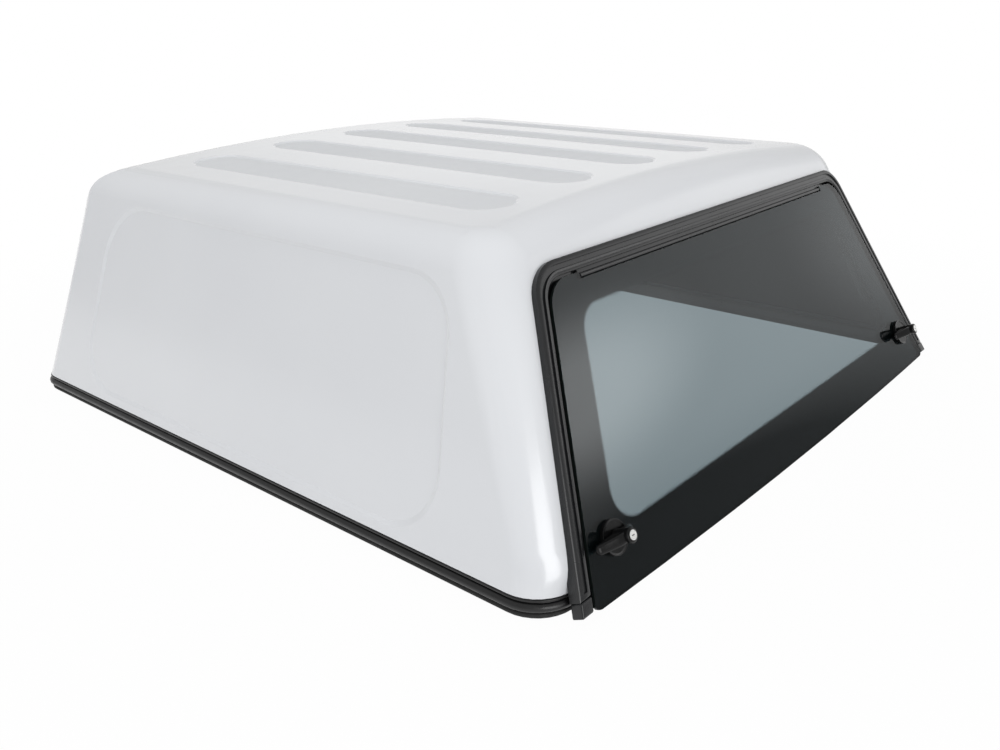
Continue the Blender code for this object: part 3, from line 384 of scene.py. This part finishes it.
print("materials made")


# Shell: the moulding with its flutes and side recesses, edges softened as a mould needs

shell = {
    # a face that looks at the middle by more than "inside" belongs to the lining
    "edgeRadius": 0.0014, "edgeAngle": 18, "edgeSegments": 3, "middle": Vector((0, 0, 0.20)), "inside": 0.25}
# where the flute floors lie; they take the dull gelcoat with its painted shade
flute = {"pitch": 0.2205, "reach": 2, "half": 0.056, "above": 0.5, "level": 0.98}


def makeShell():
    piece = copyOfNode("shell", "mouldedShell")
    softenEdges(piece, shell["edgeRadius"], shell["edgeAngle"], shell["edgeSegments"])
    standFor(piece, "canopy", "gelcoat", gelcoatWhite, "shell")
    piece.data.materials.append(liningGrey)
    piece.data.materials.append(gelcoatSatinPaintedShade)
    for face in piece.data.polygons:
        inwards = shell["middle"] - face.center
        face.material_index = 1 if face.normal.dot(inwards) > shell["inside"] * inwards.length else 0
        # flute floors: dull gelcoat, darker in colour as painted shade
        if onFluteFloor(piece, face):
            face.material_index = 2


def onFluteFloor(piece, face):
    if face.normal.z < flute["level"] or face.center.z < flute["above"]:
        return False
    middle = round(face.center.x / flute["pitch"])
    across = [piece.data.vertices[i].co.x - middle * flute["pitch"] for i in face.vertices]
    return abs(middle) <= flute["reach"] and max(abs(x) for x in across) < flute["half"]


makeShell()
print("shell made")


# Rear frame: its face is crowned, and the feet, hinge and seals lie round the glass; the rebate's walls
# round the glass are painted shade

rearFrame = {
    # "onFace", "facing" and "wall" tell the flat face and the rebate's walls from the rest
    "strips": (0.0012, 0.0018, 0.0022, 0.0020, 0.0015, 0.0010), "crown": 0.0030,
    "edge": 0.0007, "edgeAngle": 50, "onFace": 0.0002, "facing": 0.99, "wall": 0.3,
    "rebateLow": 0.7055, "rebateTaper": 0.3255, "rebateTop": 0.49, "rebateDepth": (0.0005, 0.0128),
    "margin": 0.002}


def makeRearFrame():
    # the flat face is inset strip by strip, and the strips are then lowered into a crown
    piece = copyOfNode("rear_frame", "crownedFrame")
    inward = rearFace["inward"]
    near, facing = rearFrame["onFace"], rearFrame["facing"]
    selectFaces(piece, lambda face: faceDepth(face.center) < near and face.normal.dot(inward) < -facing)
    endEdit()
    outline = [point.index for point in piece.data.vertices if abs(faceDepth(point.co)) < near]
    loops = [(0.0, outline)]
    travelled = 0.0
    for strip in rearFrame["strips"]:
        before = len(piece.data.vertices)
        bpy.ops.object.mode_set(mode="EDIT")
        bpy.ops.mesh.inset(thickness=strip)
        endEdit()
        travelled += strip
        loops.append((travelled, range(before, len(piece.data.vertices))))
    for distance, loop in loops:
        drop = rearFrame["crown"] * (1 - distance / travelled) ** 2
        for index in loop:
            piece.data.vertices[index].co += inward * drop
    softenEdges(piece, rearFrame["edge"], rearFrame["edgeAngle"])
    standFor(piece, "canopy", "frame_black", frameBlack, "rear_frame")
    # second slot: painted shade on the rebate's walls round the glass
    piece.data.materials.append(rebateShadeBlack)
    for face in piece.data.polygons:
        if abs(face.normal.dot(inward)) < rearFrame["wall"] and inRebate(face.center):
            face.material_index = 1


def inRebate(place):
    # on the wall round the glass, or the step behind its edge, which take the painted shade
    slope, margin = faceSlope(place), rearFrame["margin"]
    half = rearFrame["rebateLow"] - rearFrame["rebateTaper"] * slope
    front, back = rearFrame["rebateDepth"]
    within = abs(place.x) < half + margin and slope < rearFrame["rebateTop"] + margin
    return within and front < faceDepth(place) < back


makeRearFrame()

frameParts = {
    "edgeAngle": 40, "edges": {"frame_foot_left": 0.003, "frame_foot_right": 0.003, "hinge_rail": 0.0003}}
for name, edge in frameParts["edges"].items():
    part = copyOfNode(name, name + "_finished")
    softenEdges(part, edge, frameParts["edgeAngle"])
    standFor(part, "canopy", "frame_black", frameBlack, name)
print("rear frame made")


# Door glass with its printed border

doorGlass = {"thickness": 0.005, "edge": 0.0008, "edgeAngle": 40, "broadside": 0.95}
border = {
    # the clear window's outline, then the thin layer that lies behind the pane
    "low": 0.082, "high": 0.432, "halfLow": 0.597, "halfHigh": 0.488, "lowRadius": 0.074,
    "highRadius": 0.044, "cornerSegments": 16,
    "depth": 0.00507, "thickness": 0.00013, "fade": 0.009, "cutDepth": 0.02, "smooth": 20}


def makeDoorGlass():
    piece = copyOfNode("door_glass", "doorPane")
    softenEdges(piece, doorGlass["edge"], doorGlass["edgeAngle"])
    standFor(piece, "rear_door", "privacy_glass", glassSmoked, "door_glass")
    piece.data.materials.append(edgeDark)
    for face in piece.data.polygons:
        broadside = abs(face.normal.dot(rearFace["inward"]))
        face.material_index = 1 if broadside < doorGlass["broadside"] else 0


def makeClearOutline(name):
    # the clear window as a flat sheet standing at the origin, its corners rounded
    bpy.ops.mesh.primitive_plane_add(size=1.0, rotation=(radians(90), 0, 0))
    sheet = bpy.context.object
    sheet.name = name
    placeAtOrigin(sheet)
    for point in sheet.data.vertices:
        upper = point.co.z > 0
        half = border["halfHigh"] if upper else border["halfLow"]
        point.co = (half if point.co.x > 0 else -half, 0, border["high"] if upper else border["low"])
    middle = (border["low"] + border["high"]) / 2
    for upper, radius in ((True, border["highRadius"]), (False, border["lowRadius"])):
        startEdit(sheet, "VERT")
        for point in sheet.data.vertices:
            point.select = (point.co.z > middle) == upper
        bpy.ops.object.mode_set(mode="EDIT")
        bpy.ops.mesh.bevel(offset=radius, segments=border["cornerSegments"], affect="VERTICES")
        endEdit()
    return sheet


def makeClearWindowCutter():
    cutter = makeClearOutline("clearWindow")
    applyModifier(cutter, "SOLIDIFY", {"thickness": border["cutDepth"], "offset": 0.0})
    layOnFace(cutter)
    return cutter


def makeDotFade():
    # ring of screened dots between the border and the clear glass
    piece = makeClearOutline("dotFade")
    outer = len(piece.data.vertices)
    selectFaces(piece, lambda face: True)
    bpy.ops.mesh.inset(thickness=border["fade"])
    bpy.ops.mesh.delete(type="FACE")
    endEdit()
    fade = piece.data.attributes.new(screenedDots["attribute"], "FLOAT", "POINT")
    for index in range(outer):
        fade.data[index].value = 1.0
    applyModifier(piece, "SOLIDIFY", {"thickness": border["thickness"], "offset": 0.0})
    layOnFace(piece, depth=border["depth"] + border["thickness"] / 2)
    standFor(piece, "rear_door", "privacy_glass", dotsBlack)


def makePrintedBorder():
    piece = copyOfNode("door_glass", "printedBorder")
    thin = border["thickness"] / doorGlass["thickness"]
    inward = rearFace["inward"]
    for point in piece.data.vertices:
        depth = faceDepth(point.co)
        point.co += inward * (border["depth"] + depth * thin - depth)
    cutWith(piece, makeClearWindowCutter())
    smooth(piece, border["smooth"])
    standFor(piece, "rear_door", "privacy_glass", printBlack)


makeDoorGlass()
makePrintedBorder()
makeDotFade()
print("door glass made")


# Handles: a tapered T grip on a dished rose, with a chrome lock at its middle

rose = {"radius": 0.029, "height": 0.0075, "rim": 0.005, "dish": 0.0016, "lift": 0.0003,
        "edge": 0.0009, "edgeAngle": 30, "edgeSegments": 3}
grip = {
    # each arm is drawn out to (reach, height, width) from the middle block; the long one points to the left
    "under": 0.0085, "height": 0.036, "hub": 0.0115, "width": 0.019,
    "edge": 0.0042, "edgeAngle": 40, "subdivide": 2, "smooth": 50,
    "longArm": (
        (0.022, 0.0320, 0.0190), (0.040, 0.0235, 0.0175), (0.052, 0.0185, 0.0160), (0.057, 0.0170, 0.0130)),
    "shortArm": ((0.020, 0.0300, 0.0180), (0.031, 0.0200, 0.0155), (0.036, 0.0175, 0.0125))}
collar = {"radius": 0.0122, "height": 0.0403, "rim": 0.0024, "dome": 0.0014,
          "edge": 0.0012, "edgeAngle": 25, "edgeSegments": 3}
lock = {"radius": 0.0080, "reach": 0.0423, "root": 0.006, "ring": 0.0016, "step": 0.0008, "plug": 0.0004,
        "plugRise": 0.6, "slot": (0.0072, 0.006, 0.0014), "edge": 0.00025, "edgeAngle": 30}


def addRound(name, radius, low, high):
    # a cylinder standing out of the face from depth -low to depth -high
    bpy.ops.mesh.primitive_cylinder_add(vertices=tools["round"], radius=radius, depth=high - low,
                                        location=(0, -(high + low) / 2, 0), rotation=(radians(90), 0, 0))
    piece = bpy.context.object
    piece.name = name
    placeAtOrigin(piece)
    selectFaces(piece, lambda face: face.normal.y < -tools["facing"])  # its outer end, ready to shape
    return piece


def makeRose(name, side):
    piece = addRound("dishedRose_" + name, rose["radius"], 0.0, rose["height"])
    bpy.ops.mesh.inset(thickness=rose["rim"])
    bpy.ops.transform.translate(value=(0, rose["dish"], 0))
    endEdit()
    softenEdges(piece, rose["edge"], rose["edgeAngle"], rose["edgeSegments"])
    layOnFace(piece, side * handleHalf, -rose["lift"], rearFace["handleSlope"])
    standFor(piece, "rear_door", "handle_black", nylonBlack, "handle_rose_" + name)


def drawOutArm(piece, direction, sections):
    # sections drawn out of the block's end face, each lower and narrower than the last
    for reach, top, width in sections:
        end = max(direction * face.center.x for face in piece.data.polygons) - tools["near"]
        selectFaces(piece, lambda face: (
            direction * face.center.x > end and abs(face.normal.x) > tools["facing"]))
        bpy.ops.mesh.extrude_region_move()
        endEdit()
        for point in piece.data.vertices:
            if point.select:
                point.co.x = direction * reach
                point.co.y = -top if point.co.y < -(grip["under"] + top) / 2 else -grip["under"]
                point.co.z = width / 2 if point.co.z > 0 else -width / 2


def makeGrip(name, side):
    low = grip["under"]
    high = grip["height"]
    bpy.ops.mesh.primitive_cube_add(size=1.0, location=(0, -(low + high) / 2, 0))
    piece = bpy.context.object
    piece.name = "tGrip_" + name
    piece.scale = (2 * grip["hub"], high - low, grip["width"])
    placeAtOrigin(piece)
    drawOutArm(piece, -1, grip["longArm"])
    drawOutArm(piece, 1, grip["shortArm"])
    applyModifier(piece, "BEVEL", {
        "width": grip["edge"], "segments": tools["segments"], "limit_method": "ANGLE",
        "angle_limit": radians(grip["edgeAngle"])})
    applyModifier(piece, "SUBSURF", {"levels": grip["subdivide"], "render_levels": grip["subdivide"]})
    joinCollar(piece)
    smooth(piece, grip["smooth"])
    layOnFace(piece, side * handleHalf, 0.0, rearFace["handleSlope"])
    standFor(piece, "handle_" + name, "handle_black", nylonBlack, "handle_grip_" + name)


def joinCollar(piece):
    # the round collar that carries the lock, domed at its rim
    ring = addRound("collar", collar["radius"], grip["under"], collar["height"])
    bpy.ops.mesh.inset(thickness=collar["rim"])
    bpy.ops.transform.translate(value=(0, -collar["dome"], 0))
    endEdit()
    applyModifier(ring, "BEVEL", {
        "width": collar["edge"], "segments": collar["edgeSegments"], "limit_method": "ANGLE",
        "angle_limit": radians(collar["edgeAngle"])})
    applyModifier(piece, "BOOLEAN", {"operation": "UNION", "solver": "EXACT", "object": ring})
    bpy.data.objects.remove(ring, do_unlink=True)


def makeLock(name, side):
    piece = addRound("lockFace_" + name, lock["radius"], grip["height"] - lock["root"], lock["reach"])
    bpy.ops.mesh.inset(thickness=lock["ring"])
    bpy.ops.mesh.extrude_region_move()
    bpy.ops.transform.translate(value=(0, lock["step"], 0))
    bpy.ops.mesh.inset(thickness=lock["plug"])
    bpy.ops.transform.translate(value=(0, -lock["step"] * lock["plugRise"], 0))
    endEdit()
    bpy.ops.mesh.primitive_cube_add(size=1.0, location=(0, -lock["reach"], 0))
    slot = bpy.context.object
    slot.scale = lock["slot"]
    placeAtOrigin(slot)
    cutWith(piece, slot)
    softenEdges(piece, lock["edge"], lock["edgeAngle"])
    layOnFace(piece, side * handleHalf, 0.0, rearFace["handleSlope"])
    standFor(piece, "handle_" + name, "chrome", chromeBright, "lock_barrel_" + name)


for name, side in sides:
    makeRose(name, side)
    makeGrip(name, side)
    makeLock(name, side)
print("handles made")


# Rubber round the base, with the two beads that show

baseRubber = {"edge": 0.0006, "edgeAngle": 50}
for name, material in (("base_trim", rubberBlack), ("base_seal", spongeBlack)):
    part = copyOfNode(name, name + "_finished")
    softenEdges(part, baseRubber["edge"], baseRubber["edgeAngle"])
    standFor(part, "canopy", "rubber", material, name)
print("base rubber made")


# CAD nodes whose shape is right keep their mesh and get the real finish

finishes = {
    "frame_seal": spongeBlack, "door_bottom_seal": spongeBlack, "front_window_seal": rubberBlack,
    "front_window_glass": glassSmoked, "door_top_rail": frameBlack}
for name, side in sides:
    finishes["striker_" + name] = zincBright
    for start in ("latch_shaft_", "latch_cam_", "strut_frame_bracket_", "strut_door_bracket_", "strut_rod_"):
        finishes[start + name] = steelBlack
    finishes["strut_cylinder_" + name] = enamelBlack
for name, material in finishes.items():
    node = nodes[name]
    node.data.materials.clear()
    node.data.materials.append(material)
print("finishes set")


# Floor, backdrop, lights and camera

studio = {
    "floorSize": 60.0, "floorColour": 0.64, "whiteNear": 0.975, "nearEdge": 0.9, "farEdge": 2.4,
    "worldLight": 0.57, "mirroredLight": 0.62, "mirroredLeast": 0.28, "lobeDepth": 0.6, "lobeEdge": 0.8,
    "mirroredLobes": (
        # azimuth and elevation of the middle, half width and half height in degrees, strength
        (-30, 14, 34, 17.0, 0.62),
        (-46, 0, 26, 6.5, -1.0),
        (41, 8, 38, 16.0, 0.30),
        (-40.5, 11, 10, 6.0, 2.4),
        (-20, 6, 7, 8.0, 0.7),
    ),
    "softboxes": (
        # name, place, aimed at, width, height, power, seen in gloss
        ("overhead", (-0.4, -0.4, 4.2), (0, 0, 0.3), 4.5, 4.5, 62, False),
        ("rearSoft", (-2.05, -4.05, 0.95), (-0.7, -0.7, 0.2), 2.2, 2.8, 64, True),
        ("sideFill", (-4.4, 0.8, 1.8), (-0.7, 0, 0.25), 3.0, 2.2, 35, False),
    )}


def whiteToTheEye(tree):
    # one for rays that show the background itself: from the camera, in gloss and through glass
    rays = addNode(tree, "ShaderNodeLightPath")
    seen = addNode(tree, "ShaderNodeMath", {"operation": "MAXIMUM"},
                   {0: rays.outputs["Is Camera Ray"], 1: rays.outputs["Is Transmission Ray"]})
    return rays, seen


def makeFloor():
    bpy.ops.mesh.primitive_plane_add(size=studio["floorSize"], location=(0, 0, 0))
    floor = bpy.context.object
    floor.name = "floor"
    material = bpy.data.materials.new("paleFloor")
    material.use_nodes = True
    tree = material.node_tree
    tree.nodes.remove(tree.nodes["Principled BSDF"])
    rays, seen = whiteToTheEye(tree)
    seen = addNode(tree, "ShaderNodeMath", {"operation": "MAXIMUM"},
                   {0: seen.outputs[0], 1: rays.outputs["Is Glossy Ray"]})
    place = addNode(tree, "ShaderNodeTexCoord")
    distance = addNode(tree, "ShaderNodeVectorMath", {"operation": "LENGTH"}, {0: place.outputs["Object"]})
    white = addNode(tree, "ShaderNodeMapRange", {
        "interpolation_type": "SMOOTHSTEP", "From Min": studio["nearEdge"], "From Max": studio["farEdge"],
        "To Min": studio["whiteNear"], "To Max": 1.0}, {"Value": distance.outputs["Value"]})
    share = addNode(tree, "ShaderNodeMath", {"operation": "MULTIPLY"},
                    {0: seen.outputs[0], 1: white.outputs["Result"]})
    plain = addNode(tree, "ShaderNodeBsdfDiffuse", {"Color": (*[studio["floorColour"]] * 3, 1)})
    glow = addNode(tree, "ShaderNodeEmission", {"Color": (1, 1, 1, 1), "Strength": 1.0})
    mix = addNode(tree, "ShaderNodeMixShader", {},
                  {0: share.outputs[0], 1: plain.outputs[0], 2: glow.outputs[0]})
    tree.links.new(mix.outputs[0], tree.nodes["Material Output"].inputs["Surface"])
    floor.data.materials.append(material)


def makeWorld():
    # white to the eye, an even light on the object, and in gloss a room with a soft lamp and a dark corner
    world = bpy.data.worlds.new("studio")
    bpy.context.scene.world = world
    world.use_nodes = True
    tree = world.node_tree
    background = tree.nodes["Background"]
    background.inputs["Color"].default_value = (1, 1, 1, 1)
    rays, seen = whiteToTheEye(tree)
    heading = addNode(tree, "ShaderNodeTexCoord")
    mirrored = addNode(tree, "ShaderNodeValue")
    mirrored.outputs[0].default_value = studio["mirroredLight"]
    for azimuth, elevation, width, height, strength in studio["mirroredLobes"]:
        around, rise = radians(azimuth), radians(elevation)
        place = addNode(tree, "ShaderNodeMapping", {
            "vector_type": "TEXTURE", "Rotation": (0, 0, around),
            "Location": (cos(around) * cos(rise), sin(around) * cos(rise), sin(rise)),
            "Scale": (studio["lobeDepth"], sin(radians(width)), sin(radians(height)))},
            {"Vector": heading.outputs["Generated"]})
        lobe = addNode(tree, "ShaderNodeTexGradient", {"gradient_type": "SPHERICAL"},
                       {"Vector": place.outputs[0]})
        soft = addNode(tree, "ShaderNodeMapRange", {
            "interpolation_type": "SMOOTHSTEP", "From Max": studio["lobeEdge"], "To Max": strength},
            {"Value": lobe.outputs["Fac"]})
        mirrored = addNode(tree, "ShaderNodeMath", {"operation": "ADD"},
                           {0: mirrored.outputs[0], 1: soft.outputs["Result"]})
    mirrored = addNode(tree, "ShaderNodeMath", {"operation": "MAXIMUM", 1: studio["mirroredLeast"]},
                       {0: mirrored.outputs[0]})
    gloss = addNode(tree, "ShaderNodeMix", {"data_type": "FLOAT", 2: studio["worldLight"]},
                    {0: rays.outputs["Is Glossy Ray"], 3: mirrored.outputs[0]})
    strength = addNode(tree, "ShaderNodeMix", {"data_type": "FLOAT", 3: 1.0},
                       {0: seen.outputs[0], 2: gloss.outputs[0]})
    tree.links.new(strength.outputs[0], background.inputs["Strength"])


def makeSoftbox(name, place, target, width, height, power, inGloss):
    lamp = bpy.data.lights.new(name, "AREA")
    lamp.shape = "RECTANGLE"
    lamp.size = width
    lamp.size_y = height
    lamp.energy = power
    holder = bpy.data.objects.new(name, lamp)
    bpy.context.scene.collection.objects.link(holder)
    holder.visible_glossy = inGloss
    holder.location = place
    holder.rotation_euler = (Vector(target) - Vector(place)).to_track_quat("-Z", "Y").to_euler()


camera = {
    # the photograph's own viewpoint, solved from its vanishing points and refitted to its outline
    "place": (-1.67463, -1.466985, 0.85356), "heading": 0.85383, "pitch": 0.37366, "roll": -0.0191,
    "lens": 34.2518, "sensor": 36.0, "near": 0.05, "far": 60.0}


def makeCamera():
    data = bpy.data.cameras.new("camera")
    data.sensor_width = camera["sensor"]
    data.lens = camera["lens"]
    data.clip_start = camera["near"]
    data.clip_end = camera["far"]
    holder = bpy.data.objects.new("camera", data)
    bpy.context.scene.collection.objects.link(holder)
    heading, pitch, roll = camera["heading"], camera["pitch"], camera["roll"]
    forward = Vector((sin(heading) * cos(pitch), cos(heading) * cos(pitch), -sin(pitch)))
    level = Vector((cos(heading), -sin(heading), 0))
    right = level * cos(roll) + level.cross(forward) * sin(roll)
    up = right.cross(forward)
    turn = Matrix((right, up, -forward)).transposed()
    holder.matrix_world = Matrix.Translation(camera["place"]) @ turn.to_4x4()
    bpy.context.scene.camera = holder


makeFloor()
makeWorld()
for softbox in studio["softboxes"]:
    makeSoftbox(*softbox)
makeCamera()
bpy.context.scene.view_settings.view_transform = "Standard"
deselectAll()
print("stage, lights and camera set")
